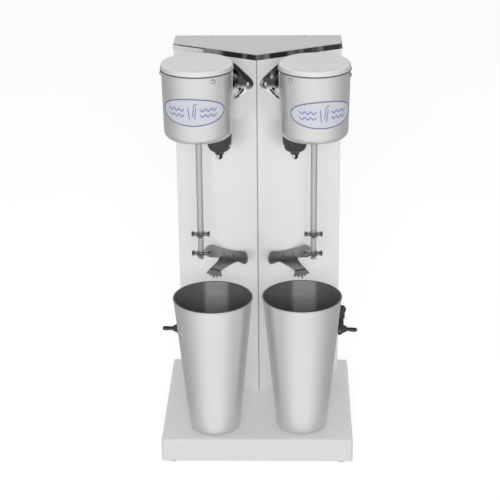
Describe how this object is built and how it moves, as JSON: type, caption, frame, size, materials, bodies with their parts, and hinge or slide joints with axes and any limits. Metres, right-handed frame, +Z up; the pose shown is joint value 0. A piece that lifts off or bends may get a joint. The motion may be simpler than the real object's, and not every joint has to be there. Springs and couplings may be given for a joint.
{
  "type": "double-head milkshake mixer",
  "caption": "Countertop drink mixer: steel base, V-front column, twin motor heads on chrome necks, crimped-disc agitators, cup rests, cup-sensing levers, side toggles and tapered cups.",
  "frame": {"origin": "centre of the base's footprint, on the table, in the plane of the feet's undersides", "axes": "+Z up, front faces -Y, +X to the user's right"},
  "size_m": [0.2649, 0.2705, 0.4992],
  "materials": {
    "case_steel": "bright annealed stainless sheet, soft reflections",
    "bright_cap": "polished stainless sheet",
    "head_steel": "satin stainless, fine brushing around the axis",
    "cup_steel": "satin stainless, fine brushing around the axis",
    "chrome": "bright chrome plate",
    "screw_steel": "bright plated steel",
    "badge_face": "pale domed label with a dark blue border and a plain tumbler motif",
    "laminations": "stacked electrical steel",
    "coil_copper": "enamelled copper wire",
    "cast_aluminium": "as cast",
    "brush_carbon": "carbon brushes in moulded holders",
    "black_rubber": "moulded rubber, low sheen",
    "black_plastic": "moulded black plastic",
    "gloss_black": "polished black plastic",
    "fan_plastic": "moulded fan",
    "switch_red": "moulded switch body",
    "terminal_white": "moulded terminal strip"
  },
  "bodies": {
    "frame": {"base_pan": "case_steel", "base_plate": "case_steel", "feet": "black_rubber", "foot_screws": "screw_steel", "column_front": "case_steel", "column_back": "case_steel", "top_cap": "bright_cap", "case_screws": "screw_steel", "left_cup_rest": "chrome", "right_cup_rest": "chrome", "rest_nuts": "screw_steel", "left_neck": "chrome", "right_neck": "chrome", "neck_bolts": "screw_steel", "left_head_shell": "head_steel", "right_head_shell": "head_steel", "left_head_lid": "head_steel", "right_head_lid": "head_steel", "lid_screws": "screw_steel", "left_badge": "badge_face", "right_badge": "badge_face", "stator_cores": "laminations", "field_coils": "coil_copper", "lower_brackets": "cast_aluminium", "upper_brackets": "cast_aluminium", "motor_bolts": "screw_steel", "motor_bearings": "screw_steel", "motor_brushes": "brush_carbon", "nose_nuts": "chrome", "left_switch_housing": "black_plastic", "right_switch_housing": "black_plastic", "micro_switches": "black_plastic", "switch_pins": "screw_steel", "toggle_bodies": "switch_red", "toggle_nuts": "black_rubber", "cord_gland": "black_rubber", "power_cord": "black_rubber", "power_plug": "black_plastic", "cable_tie": "black_plastic", "terminal_block": "terminal_white"},
    "left_spindle": {"left_armature": "laminations", "left_motor_shaft": "screw_steel", "left_fan": "fan_plastic", "left_agitator_rod": "chrome", "left_agitator_discs": "chrome"},
    "right_spindle": {"right_armature": "laminations", "right_motor_shaft": "screw_steel", "right_fan": "fan_plastic", "right_agitator_rod": "chrome", "right_agitator_discs": "chrome"},
    "left_cup_loose": {"left_cup": "cup_steel"},
    "right_cup_loose": {"right_cup": "cup_steel"},
    "left_toggle": {"left_toggle_lever": "gloss_black", "left_toggle_boot": "black_rubber"},
    "right_toggle": {"right_toggle_lever": "gloss_black", "right_toggle_boot": "black_rubber"},
    "left_cup_sensor": {"left_cup_lever": "gloss_black", "left_lever_boot": "black_rubber"},
    "right_cup_sensor": {"right_cup_lever": "gloss_black", "right_lever_boot": "black_rubber"}
  },
  "joints": [
    {"name": "left_spindle_turn", "type": "hinge", "parent": "frame", "child": "left_spindle", "pos_m": [-0.07033, -0.02622, 0.457], "axis": [0, 0, 1], "continuous": true},
    {"name": "right_spindle_turn", "type": "hinge", "parent": "frame", "child": "right_spindle", "pos_m": [0.07033, -0.02622, 0.457], "axis": [0, 0, 1], "continuous": true},
    {"name": "left_cup_lift", "type": "slide", "parent": "frame", "child": "left_cup_loose", "axis": [0, -0.7071, 0.7071], "range_m": [0, 0.2]},
    {"name": "right_cup_lift", "type": "slide", "parent": "frame", "child": "right_cup_loose", "axis": [0, -0.7071, 0.7071], "range_m": [0, 0.2]},
    {"name": "left_toggle_flip", "type": "hinge", "parent": "frame", "child": "left_toggle", "pos_m": [-0.1085, 0.091, 0.0925], "axis": [0, -1, 0], "range_deg": [-12, 12]},
    {"name": "right_toggle_flip", "type": "hinge", "parent": "frame", "child": "right_toggle", "pos_m": [0.1085, 0.091, 0.0925], "axis": [0, 1, 0], "range_deg": [-17, 7]},
    {"name": "left_cup_lever_press", "type": "hinge", "parent": "frame", "child": "left_cup_sensor", "pos_m": [-0.04722, 0.01812, 0.381], "axis": [0.8867, -0.4623, 0], "range_deg": [0, 12], "stiffness_Nm_per_rad": 0.5},
    {"name": "right_cup_lever_press", "type": "hinge", "parent": "frame", "child": "right_cup_sensor", "pos_m": [0.04722, 0.01812, 0.381], "axis": [0.8867, 0.4623, 0], "range_deg": [0, 12], "stiffness_Nm_per_rad": 0.5}
  ]
}
